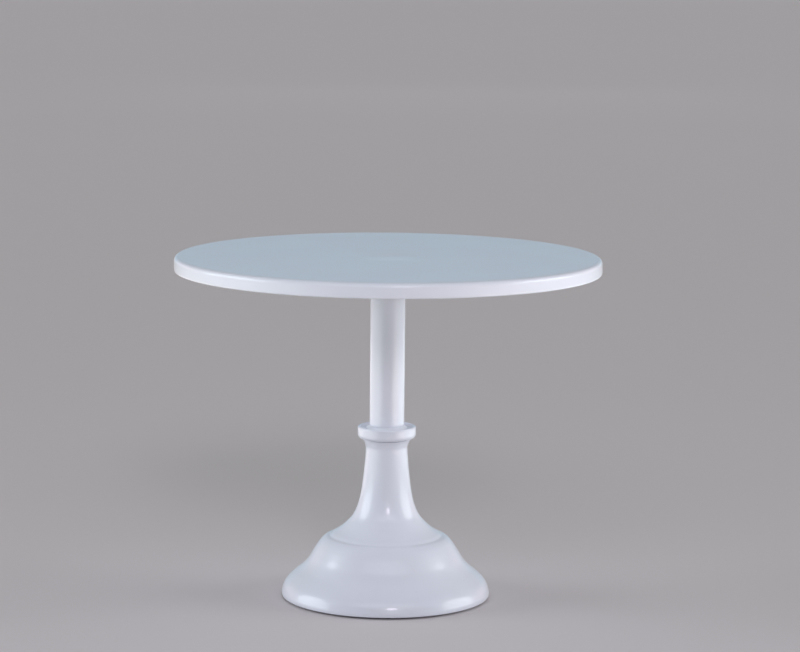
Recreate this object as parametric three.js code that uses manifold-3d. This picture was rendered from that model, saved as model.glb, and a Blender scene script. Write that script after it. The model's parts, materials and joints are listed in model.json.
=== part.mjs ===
// A pedestal cake turntable. A flat pressed plate turns on a ball thrust bearing inside a hub
// under it. The hub sits on a tubular stem, which stands in a collar on a bell-shaped cast base.
// One long tie rod clamps the base cover, the base, the collar, the stem and the spindle together.
//
// Millimetres, +Z up. The origin is the middle of the footprint, on the table top.

import * as THREE from "three";
import { mergeVertices } from "three/addons/utils/BufferGeometryUtils.js";
import Module from "manifold-3d";

const wasm = await Module();
wasm.setup();

// ---------------------------------------------------------------- driving dimensions

const HEIGHT = 248; // table to plate top
const PLATE_RADIUS = 152.5; // a 12 inch plate
const PLATE_SKIRT = 10.6; // depth of the turned-down edge
const PLATE_SHEET = 1.6;
const PLATE_EDGE_RADIUS = 3.2;
const PLATE_HEM = 3; // width and height of the folded safe edge

const BASE_RADIUS = 75;
const BASE_EDGE_Z = 1.5; // the casting's edge clears the table by this much
const BASE_WALL = 4.5;
const NECK_TOP_Z = 116;
const NECK_TOP_RADIUS = 17;

// The outside of the bell as [radius, height]: a swelling foot, a hollow, a shoulder, a long
// flare and a slim neck that opens out under the collar.
const BELL_OUTLINE = [
  [75, 4.6],
  [73.6, 9],
  [71, 13],
  [66.2, 17.5],
  [60.8, 22],
  [56.4, 27],
  [52.7, 33],
  [49.2, 38.5],
  [45.8, 42.6],
  [41.2, 45.6],
  [35, 49],
  [29, 54],
  [23.3, 61],
  [19.3, 72],
  [16.8, 88],
  [15.1, 107],
  [15.6, 112],
  [17.3, 115.6],
];

const COLLAR_RADIUS = 21;
const COLLAR_TOP_Z = 125.2;
const COLLAR_DISH_Z = 123.9; // the floor of the dish round the stem
const COLLAR_DISH_RADIUS = 17.6;
const COLLAR_FLOOR_Z = 118.6; // where the stem's foot stands
const COLLAR_CREASE_RADIUS = 17.4; // the narrow seat on the neck
const SPIGOT_RADIUS = 10.9;
const SPIGOT_LENGTH = 9;

const STEM_RADIUS = 12.5; // 25 mm tube
const STEM_WALL = 1.5;
const STEM_TOP_Z = 220;

const ROD_BOTTOM_Z = 2.8;
const ROD_TOP_Z = 214;

const SHAFT_RADIUS = 5;
const SHAFT_SHOULDER_Z = 238.9;
const SPINDLE_FLANGE = 2.4;
const SPINDLE_PLUG_Z = 196;
const SPINDLE_END_Z = 245.9;

const BEARING_HEIGHT = 9; // a 10 x 24 x 9 thrust bearing
const BEARING_RADIUS = 12;
const RACE_THICKNESS = 2.6;
const BALL_RADIUS = 2.38; // 3/16 inch balls
const BALL_CIRCLE_RADIUS = 8.5;
const BALL_COUNT = 9;
const GROOVE_RADIUS = 2.5;
const CAGE_THICKNESS = 1.2;
const CAGE_POCKET_RADIUS = 2.6;

const HUB_FLANGE_RADIUS = 36;
const HUB_FLANGE = 4;
const HUB_BOSS_RADIUS = 18;
const HUB_BOTTOM_Z = 220.8;
const HUB_WEB_TOP_Z = 237.4;
const HUB_POCKET_RADIUS = 12.5; // room for a socket round the spindle nut
const BUSH_RADIUS = 7;
const BUSH_FLANGE_RADIUS = 9.6;
const BUSH_FLANGE = 1.2;
const SEAL_RADIUS = 15.2; // outside of the felt dust seal
const SEAL_HEIGHT = 2.5;

const STUD_COUNT = 4;
const STUD_CIRCLE_RADIUS = 28;
const STUD_LENGTH = 10.2;

const COVER_RADIUS = 69.6;
const COVER_SHEET = 2;
const COVER_TOP_Z = 4;
const COVER_DISH_RADIUS = 13.4;
const COVER_DISH_TOP_Z = 16;

const FOOT_COUNT = 4;
const FOOT_CIRCLE_RADIUS = 56;
const FOOT_RADIUS = 7;
const FOOT_STEM_RADIUS = 2.8;
const FOOT_BARB_RADIUS = 3.9;

// Standard fasteners. Threads are plain cylinders a little under size, with plain holes.
const M8 = { rod: 3.9, hole: 4.2 };
const M8_NUT = { acrossFlats: 13, height: 6.5 };
const M8_THIN_NUT = { acrossFlats: 13, height: 5 };
const M8_WASHER = { radius: 8, height: 1.6 };
const M8_SPRING_WASHER = { radius: 6.8, height: 2, split: 0.9 };
const M8_WIDE_WASHER = { radius: 9.5, height: 1.6 };
const M5 = { rod: 2.4, hole: 2.6 };
const M5_NUT = { acrossFlats: 8, height: 4 };
const M5_WASHER = { radius: 5, height: 1 };

// Room left between pieces that fit in each other: a loose fit, and a running fit on the shaft.
const FIT = 0.3;
const RUNNING_FIT = 0.08;

// Segments round each kind of piece.
const LARGE_ROUND = 64;
const BELL_ROUND = 48;
const BELL_STEPS = 25;
const MIDDLE_ROUND = 36;
const SMALL_ROUND = 16;

// Heights worked out from the ones above.
const PLATE_UNDER_Z = HEIGHT - PLATE_SHEET;
const BEARING_Z = STEM_TOP_Z + SPINDLE_FLANGE;
const BALL_Z = BEARING_Z + BEARING_HEIGHT / 2;
const HUB_SEAT_Z = BEARING_Z + BEARING_HEIGHT;
const HUB_FLANGE_Z = PLATE_UNDER_Z - HUB_FLANGE;

// ---------------------------------------------------------------- materials

function finish(color, roughness, metalness) {
  return new THREE.MeshStandardMaterial({ color, roughness, metalness });
}

const whiteEnamel = finish(0xe3e7ee, 0.22, 0);
const castAluminium = finish(0xa9acb0, 0.45, 1);
const bearingSteel = finish(0xc4c7cb, 0.18, 1);
const zincSteel = finish(0xb2b5b8, 0.35, 1);
const bronze = finish(0xb08a4f, 0.4, 1);
const brass = finish(0xc7a452, 0.35, 1);
const blackRubber = finish(0x26272a, 0.85, 0);
const greyFelt = finish(0x6d6b68, 0.95, 0);
const whiteSilicone = finish(0xdfe3ea, 0.4, 0);
const powderCoat = finish(0xd4d8de, 0.55, 0);

// ---------------------------------------------------------------- shape helpers

// An arc as [radius, height] points, in degrees from straight outwards, anticlockwise.
function arc(centreRadius, centreZ, radius, fromDegrees, toDegrees, steps) {
  return Array.from({ length: steps + 1 }, (_, i) => {
    const angle = THREE.MathUtils.degToRad(fromDegrees + ((toDegrees - fromDegrees) * i) / steps);
    return [centreRadius + radius * Math.cos(angle), centreZ + radius * Math.sin(angle)];
  });
}

// A smooth curve through [radius, height] points.
function smooth(points, steps) {
  const curve = new THREE.SplineCurve(points.map(([r, z]) => new THREE.Vector2(r, z)));
  return curve.getPoints(steps).map((p) => [p.x, p.y]);
}

// The curve moved sideways by a distance, to its left as it climbs.
function offset(points, distance) {
  return points.map(([r, z], i) => {
    const before = points[Math.max(0, i - 1)];
    const after = points[Math.min(points.length - 1, i + 1)];
    const [dr, dz] = [after[0] - before[0], after[1] - before[1]];
    const length = Math.hypot(dr, dz);
    return [r - (distance * dz) / length, z + (distance * dr) / length];
  });
}

// Turns an outline round the Z axis. It starts and ends on the axis, or it is closed into a ring.
function turned(outline, segments) {
  const points = outline.map(([r, z]) => new THREE.Vector2(r, z));
  const onAxis = outline[0][0] === 0 && outline[outline.length - 1][0] === 0;
  if (!onAxis) points.push(points[0].clone());
  return new THREE.LatheGeometry(points, segments).rotateX(Math.PI / 2);
}

// A flat ring with square corners.
function ring(innerRadius, outerRadius, bottomZ, topZ, segments) {
  const outline = [
    [innerRadius, bottomZ],
    [outerRadius, bottomZ],
    [outerRadius, topZ],
    [innerRadius, topZ],
  ];
  return turned(outline, segments);
}

// An upright cylinder at a place.
function cylinder(radius, bottomZ, topZ, x = 0, y = 0, segments = SMALL_ROUND) {
  const length = topZ - bottomZ;
  const geometry = new THREE.CylinderGeometry(radius, radius, length, segments).rotateX(Math.PI / 2);
  return geometry.translate(x, y, bottomZ + length / 2);
}

// A hexagon nut with a round hole, standing on z = 0.
function hexagonNut({ acrossFlats, height }, holeRadius) {
  const shape = new THREE.Shape();
  const cornerRadius = acrossFlats / 2 / Math.cos(Math.PI / 6);
  for (let i = 0; i < 6; i++) {
    const angle = (i * Math.PI) / 3;
    const corner = [cornerRadius * Math.cos(angle), cornerRadius * Math.sin(angle)];
    if (i === 0) shape.moveTo(...corner);
    else shape.lineTo(...corner);
  }
  shape.closePath();
  shape.holes.push(new THREE.Path().absarc(0, 0, holeRadius, 0, Math.PI * 2, true));
  const curveSegments = SMALL_ROUND / 2;
  return new THREE.ExtrudeGeometry(shape, { depth: height, bevelEnabled: false, curveSegments });
}

// Places spread evenly round a circle, as [x, y, angle].
function around(count, radius, startDegrees = 0) {
  return Array.from({ length: count }, (_, i) => {
    const angle = THREE.MathUtils.degToRad(startDegrees) + (i * 2 * Math.PI) / count;
    return [radius * Math.cos(angle), radius * Math.sin(angle), angle];
  });
}

// A three.js geometry as a manifold-3d solid, and back.
function solidOf(geometry) {
  const bare = new THREE.BufferGeometry();
  bare.setAttribute("position", geometry.getAttribute("position"));
  bare.setIndex(geometry.index);
  const merged = mergeVertices(bare, 1e-4);
  const vertProperties = new Float32Array(merged.attributes.position.array);
  const triVerts = new Uint32Array(merged.index.array);
  return new wasm.Manifold(new wasm.Mesh({ numProp: 3, vertProperties, triVerts }));
}

function geometryOf(solid) {
  const mesh = solid.getMesh();
  const geometry = new THREE.BufferGeometry();
  geometry.setAttribute("position", new THREE.BufferAttribute(mesh.vertProperties, 3));
  geometry.setIndex(new THREE.BufferAttribute(mesh.triVerts, 1));
  geometry.computeVertexNormals();
  return geometry;
}

// A geometry with others cut out of it.
function cut(geometry, cutters) {
  const solid = cutters.reduce((left, cutter) => left.subtract(solidOf(cutter)), solidOf(geometry));
  return geometryOf(solid);
}

const stand = new THREE.Group(); // stays still
const cage = new THREE.Group(); // turns at half speed
const turntable = new THREE.Group(); // turns with the plate

// Adds a named piece to a group, at a place and turned about its own upright axis.
function add(group, name, geometry, material, position = [0, 0, 0], turn = 0) {
  const mesh = new THREE.Mesh(geometry, material);
  mesh.name = name;
  mesh.position.set(...position);
  mesh.rotation.z = turn;
  group.add(mesh);
}

// ---------------------------------------------------------------- the stand

// A hollow casting, open below, with a ledge for the cover and a bore in its neck for the collar.
function baseCasting() {
  const edge = 0.8;
  const ledgeRadius = COVER_RADIUS + FIT;
  const neckBore = SPIGOT_RADIUS + FIT;
  const bell = smooth(BELL_OUTLINE, BELL_STEPS);
  const [, slimmestZ] = BELL_OUTLINE.reduce((slim, point) => (point[0] < slim[0] ? point : slim));
  const inside = offset(bell, BASE_WALL)
    .filter(([r], i) => i % 2 === 0 && r > neckBore + FIT)
    .filter(([, z]) => z > COVER_TOP_Z + COVER_SHEET && z < slimmestZ)
    .reverse();
  return turned(
    [
      [ledgeRadius, BASE_EDGE_Z],
      [BASE_RADIUS - edge, BASE_EDGE_Z],
      [BASE_RADIUS, BASE_EDGE_Z + edge],
      ...bell,
      [NECK_TOP_RADIUS, NECK_TOP_Z],
      [neckBore, NECK_TOP_Z],
      [neckBore, inside[0][1]],
      ...inside,
      [COVER_RADIUS - BASE_WALL, COVER_TOP_Z],
      [ledgeRadius, COVER_TOP_Z],
    ],
    BELL_ROUND,
  );
}

// A pressed disc that closes the base, dished in the middle to hide the tie rod's nut.
function baseCover() {
  const bend = 1.5;
  const bottomZ = COVER_TOP_Z - COVER_SHEET;
  const dishBottomZ = COVER_DISH_TOP_Z - COVER_SHEET;
  const wall = COVER_DISH_RADIUS + COVER_SHEET;
  const disc = turned(
    [
      [M8.hole, dishBottomZ],
      [COVER_DISH_RADIUS - bend, dishBottomZ],
      [COVER_DISH_RADIUS, dishBottomZ - bend],
      [COVER_DISH_RADIUS, bottomZ + bend],
      [COVER_DISH_RADIUS + bend, bottomZ],
      [COVER_RADIUS, bottomZ],
      [COVER_RADIUS, COVER_TOP_Z],
      [wall + bend, COVER_TOP_Z],
      [wall, COVER_TOP_Z + bend],
      [wall, COVER_DISH_TOP_Z - bend],
      [wall - bend, COVER_DISH_TOP_Z],
      [M8.hole, COVER_DISH_TOP_Z],
    ],
    MIDDLE_ROUND,
  );
  const holes = around(FOOT_COUNT, FOOT_CIRCLE_RADIUS, 45).map(([x, y]) =>
    cylinder(FOOT_STEM_RADIUS + FIT, bottomZ - 1, COVER_TOP_Z + 1, x, y),
  );
  return cut(disc, holes);
}

// A push-in bumper: a flat head on the table, a stem through the cover and a barb above it.
function rubberFoot() {
  const edge = 0.6;
  const headTopZ = COVER_TOP_Z - COVER_SHEET;
  const barbTopZ = COVER_TOP_Z + 2.6;
  return turned(
    [
      [0, 0],
      [FOOT_RADIUS - edge, 0],
      [FOOT_RADIUS, edge],
      [FOOT_RADIUS, headTopZ - edge],
      [FOOT_RADIUS - edge, headTopZ],
      [FOOT_STEM_RADIUS, headTopZ],
      [FOOT_STEM_RADIUS, COVER_TOP_Z + 0.1],
      [FOOT_BARB_RADIUS, COVER_TOP_Z + 0.3],
      [FOOT_STEM_RADIUS - edge, barbTopZ],
      [0, barbTopZ],
    ],
    SMALL_ROUND,
  );
}

// A turned ring with a dished top. A spigot below centres it in the neck, and the stem stands in it.
function collar() {
  const edge = 0.6;
  const [belly, lip] = [3, 1.2];
  const rodHole = M8.hole + 0.4;
  const socketRadius = STEM_RADIUS + FIT;
  const spigotZ = NECK_TOP_Z - SPIGOT_LENGTH;
  return turned(
    [
      [rodHole, spigotZ],
      [SPIGOT_RADIUS - edge, spigotZ],
      [SPIGOT_RADIUS, spigotZ + edge],
      [SPIGOT_RADIUS, NECK_TOP_Z],
      [COLLAR_CREASE_RADIUS, NECK_TOP_Z],
      ...arc(COLLAR_RADIUS - belly, NECK_TOP_Z + belly + FIT, belly, -75, 0, 4),
      ...arc(COLLAR_RADIUS - lip, COLLAR_TOP_Z - lip, lip, 0, 90, 3),
      [COLLAR_DISH_RADIUS + 1, COLLAR_TOP_Z - edge],
      [COLLAR_DISH_RADIUS, COLLAR_DISH_Z],
      [socketRadius, COLLAR_DISH_Z],
      [socketRadius, COLLAR_FLOOR_Z],
      [rodHole, COLLAR_FLOOR_Z],
    ],
    MIDDLE_ROUND,
  );
}

// A soft ring round the stem's foot, which keeps washing water out of the socket.
function stemSealRing() {
  const inner = STEM_RADIUS + 0.1;
  const outline = [
    [inner, COLLAR_DISH_Z],
    [inner + 2.2, COLLAR_DISH_Z],
    [inner + 1.3, COLLAR_DISH_Z + 0.8],
    [inner, COLLAR_DISH_Z + 1.9],
  ];
  return turned(outline, MIDDLE_ROUND);
}

function stemTube() {
  return ring(STEM_RADIUS - STEM_WALL, STEM_RADIUS, COLLAR_FLOOR_Z, STEM_TOP_Z, MIDDLE_ROUND);
}

// A turned pin: a plug in the stem, a flange on its end, a bearing shaft and a threaded end.
function spindle() {
  const edge = 0.6;
  const tappedTopZ = ROD_TOP_Z + 1;
  const plugRadius = STEM_RADIUS - STEM_WALL - 0.2;
  return turned(
    [
      [0, tappedTopZ],
      [M8.hole, tappedTopZ],
      [M8.hole, SPINDLE_PLUG_Z],
      [plugRadius - edge, SPINDLE_PLUG_Z],
      [plugRadius, SPINDLE_PLUG_Z + edge],
      [plugRadius, STEM_TOP_Z],
      [STEM_RADIUS, STEM_TOP_Z],
      [STEM_RADIUS, BEARING_Z],
      [SHAFT_RADIUS, BEARING_Z],
      [SHAFT_RADIUS, SHAFT_SHOULDER_Z],
      [M8.rod, SHAFT_SHOULDER_Z],
      [M8.rod, SPINDLE_END_Z - edge],
      [M8.rod - edge, SPINDLE_END_Z],
      [0, SPINDLE_END_Z],
    ],
    MIDDLE_ROUND,
  );
}

// One washer of the thrust bearing: its flat side at flatZ, its grooved side up (+1) or down (-1).
function bearingRace(innerRadius, flatZ, facing) {
  const faceZ = flatZ + facing * RACE_THICKNESS;
  const reach = THREE.MathUtils.radToDeg(Math.asin(Math.abs(BALL_Z - faceZ) / GROOVE_RADIUS));
  const groove = arc(BALL_CIRCLE_RADIUS, BALL_Z, GROOVE_RADIUS, -reach, reach - 180, 6);
  const outline = [
    [innerRadius, flatZ],
    [BEARING_RADIUS, flatZ],
    [BEARING_RADIUS, faceZ],
    ...groove.map(([r, z]) => [r, facing > 0 ? z : 2 * BALL_Z - z]),
    [innerRadius, faceZ],
  ];
  return turned(facing > 0 ? outline : outline.reverse(), MIDDLE_ROUND);
}

// A washer split by a narrow gap.
function springWasher({ radius, height, split }, hole, bottomZ) {
  const gap = new THREE.BoxGeometry(radius, split, 2 * height);
  gap.translate(hole + radius / 2 - 1, 0, bottomZ + height / 2);
  return cut(ring(hole, radius, bottomZ, bottomZ + height, SMALL_ROUND), [gap]);
}

// Washer, spring washer and nut on the tie rod, from the top of the cover's dish down.
function addTieRodFasteners() {
  const washerZ = COVER_DISH_TOP_Z - COVER_SHEET - M8_WASHER.height;
  const springZ = washerZ - M8_SPRING_WASHER.height;
  const nutZ = springZ - M8_NUT.height;
  const washer = ring(M8.hole, M8_WASHER.radius, washerZ, washerZ + M8_WASHER.height, SMALL_ROUND);
  add(stand, "tie_rod_washer", washer, zincSteel);
  add(stand, "tie_rod_spring_washer", springWasher(M8_SPRING_WASHER, M8.hole, springZ), zincSteel);
  add(stand, "tie_rod_nut", hexagonNut(M8_NUT, M8.hole), zincSteel, [0, 0, nutZ], 0.2);
}

// The washer and the thin lock nut that keep the hub on the spindle.
function addSpindleFasteners() {
  const nutZ = SHAFT_SHOULDER_Z + M8_WIDE_WASHER.height;
  const washer = ring(M8.hole, M8_WIDE_WASHER.radius, SHAFT_SHOULDER_Z, nutZ, MIDDLE_ROUND);
  add(stand, "spindle_washer", washer, zincSteel);
  add(stand, "spindle_lock_nut", hexagonNut(M8_THIN_NUT, M8.hole), zincSteel, [0, 0, nutZ], 0.1);
}

function buildStand() {
  add(stand, "base_casting", baseCasting(), whiteEnamel);
  add(stand, "base_cover", baseCover(), powderCoat);
  around(FOOT_COUNT, FOOT_CIRCLE_RADIUS, 45).forEach(([x, y], i) => {
    add(stand, `rubber_foot_${i + 1}`, rubberFoot(), blackRubber, [x, y, 0]);
  });
  add(stand, "collar", collar(), whiteEnamel);
  add(stand, "stem_seal_ring", stemSealRing(), whiteSilicone);
  add(stand, "stem_tube", stemTube(), whiteEnamel);
  add(stand, "tie_rod", cylinder(M8.rod, ROD_BOTTOM_Z, ROD_TOP_Z), zincSteel);
  addTieRodFasteners();
  add(stand, "spindle", spindle(), bearingSteel);
  const lowerRace = bearingRace(SHAFT_RADIUS + 0.1, BEARING_Z, 1);
  add(stand, "bearing_lower_race", lowerRace, bearingSteel);
  addSpindleFasteners();
}

// ---------------------------------------------------------------- the ball cage

function bearingCage() {
  const outer = BEARING_RADIUS - FIT;
  const bottomZ = BALL_Z - CAGE_THICKNESS / 2;
  const topZ = BALL_Z + CAGE_THICKNESS / 2;
  const pockets = around(BALL_COUNT, BALL_CIRCLE_RADIUS).map(([x, y]) =>
    cylinder(CAGE_POCKET_RADIUS, bottomZ - 1, topZ + 1, x, y),
  );
  return cut(ring(SHAFT_RADIUS + FIT, outer, bottomZ, topZ, MIDDLE_ROUND), pockets);
}

function buildCage() {
  add(cage, "bearing_cage", bearingCage(), brass);
  around(BALL_COUNT, BALL_CIRCLE_RADIUS).forEach(([x, y], i) => {
    const ball = new THREE.SphereGeometry(BALL_RADIUS, 10, 6);
    add(cage, `bearing_ball_${i + 1}`, ball, bearingSteel, [x, y, BALL_Z]);
  });
}

// ---------------------------------------------------------------- the turntable

// A pressed disc with a rounded edge, a turned-down skirt and a hem folded inwards.
function plate() {
  const fold = 0.8;
  const bottomZ = HEIGHT - PLATE_SKIRT;
  const edgeCentre = PLATE_RADIUS - PLATE_EDGE_RADIUS;
  const edgeZ = HEIGHT - PLATE_EDGE_RADIUS;
  const hemInside = PLATE_RADIUS - PLATE_HEM;
  return turned(
    [
      [0, PLATE_UNDER_Z],
      ...arc(edgeCentre, edgeZ, PLATE_EDGE_RADIUS - PLATE_SHEET, 90, 0, 2),
      [PLATE_RADIUS - PLATE_SHEET, bottomZ + PLATE_HEM],
      [hemInside, bottomZ + PLATE_HEM - fold],
      [hemInside, bottomZ + fold],
      [hemInside + fold, bottomZ],
      [PLATE_RADIUS - fold, bottomZ],
      [PLATE_RADIUS, bottomZ + fold],
      ...arc(edgeCentre, edgeZ, PLATE_EDGE_RADIUS, 0, 90, 4),
      [0, HEIGHT],
    ],
    LARGE_ROUND,
  );
}

// A flange under the plate and a boss that holds the bush, the bearing and the dust seal.
function hub() {
  const [edge, fillet] = [1, 3];
  const sealSeat = SEAL_RADIUS + 0.2;
  const sealSeatZ = HUB_BOTTOM_Z + SEAL_HEIGHT + FIT;
  const bearingSeat = BEARING_RADIUS + FIT;
  const stemRoom = STEM_RADIUS + 0.5;
  const bushSeat = BUSH_RADIUS + 0.2;
  const body = turned(
    [
      [sealSeat, HUB_BOTTOM_Z],
      [HUB_BOSS_RADIUS - edge, HUB_BOTTOM_Z],
      [HUB_BOSS_RADIUS, HUB_BOTTOM_Z + edge],
      [HUB_BOSS_RADIUS, HUB_FLANGE_Z - fillet],
      [HUB_BOSS_RADIUS + fillet, HUB_FLANGE_Z],
      [HUB_FLANGE_RADIUS - edge, HUB_FLANGE_Z],
      [HUB_FLANGE_RADIUS, HUB_FLANGE_Z + edge],
      [HUB_FLANGE_RADIUS, PLATE_UNDER_Z],
      [HUB_POCKET_RADIUS, PLATE_UNDER_Z],
      [HUB_POCKET_RADIUS, HUB_WEB_TOP_Z],
      [bushSeat, HUB_WEB_TOP_Z],
      [bushSeat, HUB_SEAT_Z],
      [bearingSeat, HUB_SEAT_Z],
      [bearingSeat, BALL_Z + CAGE_THICKNESS],
      [stemRoom, BALL_Z + CAGE_THICKNESS / 2],
      [stemRoom, sealSeatZ],
      [sealSeat, sealSeatZ],
    ],
    MIDDLE_ROUND,
  );
  const holes = around(STUD_COUNT, STUD_CIRCLE_RADIUS).map(([x, y]) =>
    cylinder(M5.rod + FIT, HUB_FLANGE_Z - 1, PLATE_UNDER_Z + 1, x, y),
  );
  return cut(body, holes);
}

// A bronze bush whose flange takes the rubbing under the spindle washer.
function hubBush() {
  const bore = SHAFT_RADIUS + RUNNING_FIT;
  const bottomZ = HUB_SEAT_Z + 0.4;
  const topZ = HUB_WEB_TOP_Z + BUSH_FLANGE;
  return turned(
    [
      [bore, bottomZ],
      [BUSH_RADIUS, bottomZ],
      [BUSH_RADIUS, HUB_WEB_TOP_Z],
      [BUSH_FLANGE_RADIUS, HUB_WEB_TOP_Z],
      [BUSH_FLANGE_RADIUS, topZ],
      [bore, topZ],
    ],
    MIDDLE_ROUND,
  );
}

// The weld studs under the plate, each with a washer and a nut that hold the hub's flange.
function addPlateStuds() {
  const washerZ = HUB_FLANGE_Z - M5_WASHER.height;
  const nutZ = washerZ - M5_NUT.height;
  const studEndZ = PLATE_UNDER_Z - STUD_LENGTH;
  around(STUD_COUNT, STUD_CIRCLE_RADIUS).forEach(([x, y, angle], i) => {
    const stud = cylinder(M5.rod, studEndZ, PLATE_UNDER_Z, 0, 0, SMALL_ROUND / 2);
    const washer = ring(M5.hole, M5_WASHER.radius, washerZ, HUB_FLANGE_Z, SMALL_ROUND);
    const nut = hexagonNut(M5_NUT, M5.hole);
    add(turntable, `plate_stud_${i + 1}`, stud, zincSteel, [x, y, 0]);
    add(turntable, `hub_washer_${i + 1}`, washer, zincSteel, [x, y, 0]);
    add(turntable, `hub_nut_${i + 1}`, nut, zincSteel, [x, y, nutZ], angle + 0.3);
  });
}

function buildTurntable() {
  const sealZ = HUB_BOTTOM_Z + 0.1;
  const seal = ring(STEM_RADIUS + 0.2, SEAL_RADIUS, sealZ, sealZ + SEAL_HEIGHT, MIDDLE_ROUND);
  const upperRace = bearingRace(SHAFT_RADIUS + 0.6, HUB_SEAT_Z, -1);
  add(turntable, "plate", plate(), whiteEnamel);
  add(turntable, "hub", hub(), castAluminium);
  add(turntable, "hub_bush", hubBush(), bronze);
  add(turntable, "bearing_upper_race", upperRace, bearingSteel);
  add(turntable, "hub_dust_seal", seal, greyFelt);
  addPlateStuds();
}

buildStand();
buildCage();
buildTurntable();

const cakeTurntable = new THREE.Group();
cakeTurntable.add(stand, cage, turntable);

export default cakeTurntable;
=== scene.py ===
"""The looks of a white enamelled cake turntable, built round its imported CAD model.

Outlines are [radius, height] points in millimetres, as in the CAD model. Meshes are in metres.
"""

import json
import math

import bmesh
import bpy
from mathutils import Matrix, Vector, noise


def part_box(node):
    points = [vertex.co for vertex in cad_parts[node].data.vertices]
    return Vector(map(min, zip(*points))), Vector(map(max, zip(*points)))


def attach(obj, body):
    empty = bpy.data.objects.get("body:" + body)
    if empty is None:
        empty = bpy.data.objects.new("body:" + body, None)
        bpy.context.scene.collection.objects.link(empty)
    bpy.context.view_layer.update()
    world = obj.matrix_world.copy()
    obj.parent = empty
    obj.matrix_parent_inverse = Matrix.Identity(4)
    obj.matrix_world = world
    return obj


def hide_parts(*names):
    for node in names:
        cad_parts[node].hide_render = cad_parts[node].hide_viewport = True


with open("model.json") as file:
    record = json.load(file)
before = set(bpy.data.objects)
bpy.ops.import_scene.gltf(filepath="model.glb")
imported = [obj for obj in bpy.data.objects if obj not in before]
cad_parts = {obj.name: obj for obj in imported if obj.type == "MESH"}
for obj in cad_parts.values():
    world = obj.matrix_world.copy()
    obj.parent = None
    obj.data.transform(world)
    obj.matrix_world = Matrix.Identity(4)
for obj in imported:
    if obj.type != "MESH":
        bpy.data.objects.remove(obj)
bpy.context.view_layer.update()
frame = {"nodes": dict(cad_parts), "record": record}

MM = 0.001

# Segments round each kind of piece, and how fine its fillets are.
LARGE_ROUND = 256
BELL_ROUND = 192
STEM_ROUND = 128
SMALL_ROUND = 72
THREAD_ROUND = 36
DRILL_ROUND = 44
FILLET_STEPS = 6
DRILL_TURN = math.radians(2.3)
HOLD = 0.05  # a loop this far past each fillet keeps the flat beside it flat
SHARP = math.radians(40)
WELD = 0.002  # corners closer than this are one

# Sheet metal and casting.
PLATE_SHEET = 1.6
PLATE_EDGE_RADIUS = 3.2
PLATE_HEM = 3.0
PLATE_PULL_RADIUS = 32.0  # the hub's pull on the plate's middle
PLATE_PULL_DEPTH = 0.55
PLATE_PULL_LEAN = 0.3  # it is that much deeper on one side
PLATE_PULL_RINGS = 16
BASE_WALL = 4.5
STEM_WALL = 1.5
COVER_SHEET = 2.0
COVER_BEAD_RADIUS = 38.0
COVER_BEAD = 1.0

# The outside of the bell: a swelling foot, a hollow, a shoulder, a flare and a slim neck.
BELL_OUTLINE = [
    [75, 4.6],
    [73.6, 9],
    [71, 13],
    [66.2, 17.5],
    [60.8, 22],
    [56.4, 27],
    [52.7, 33],
    [49.2, 38.5],
    [45.8, 42.6],
    [41.2, 45.6],
    [35, 49],
    [29, 54],
    [23.3, 61],
    [19.3, 72],
    [16.8, 88],
    [15.1, 107],
    [15.6, 112],
    [17.3, 115.6],
]
BELL_STEPS = 12  # on each span of the outline
CREASE_RADIUS = 40.6  # a cast line where the flare meets the shoulder
CREASE_WIDTH = 1.6
CREASE_DEPTH = 0.75

# Fasteners: their threads, the radii of the holes they pass through, and of their nuts' bores.
M8_PITCH = 1.25
M8_HOLE = 4.2
M8_BORE = 4.0
M5_PITCH = 0.8
M5_HOLE = 2.6
M5_BORE = 2.5
THREAD_DEPTH = 0.55  # times the pitch
ROWS_PER_PITCH = 8
THREADED_END = 22.0  # length of thread at each end of the tie rod
SPRING_WASHER_GAP = 0.9
SPRING_WASHER_SLANT = math.radians(20)

NODE_BODY = {
    node: body
    for body, nodes in frame["record"]["behaviour"]["bodies"].items()
    for node in nodes
}
NODE_SLOT = {s["node"]: s["material_slot"] for s in frame["record"]["subparts"]}


# ---------------------------------------------------------------- camera, floor and lights

CAMERA_PLACE = (0.0, -2.0904, 0.4993)
CAMERA_LENS = 132.8
CAMERA_PITCH = 8.212  # degrees below the horizon
CAMERA_YAW = -0.24
CAMERA_ROLL = 0.55


def make_camera():
    data = bpy.data.cameras.new("camera")
    data.lens = CAMERA_LENS
    camera = bpy.data.objects.new("camera", data)
    bpy.context.scene.collection.objects.link(camera)
    turn = Matrix.Rotation(math.radians(CAMERA_YAW), 4, "Z")
    tilt = Matrix.Rotation(math.radians(90 - CAMERA_PITCH), 4, "X")
    roll = Matrix.Rotation(math.radians(CAMERA_ROLL), 4, "Z")
    camera.matrix_world = Matrix.Translation(CAMERA_PLACE) @ turn @ tilt @ roll
    bpy.context.scene.camera = camera


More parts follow.
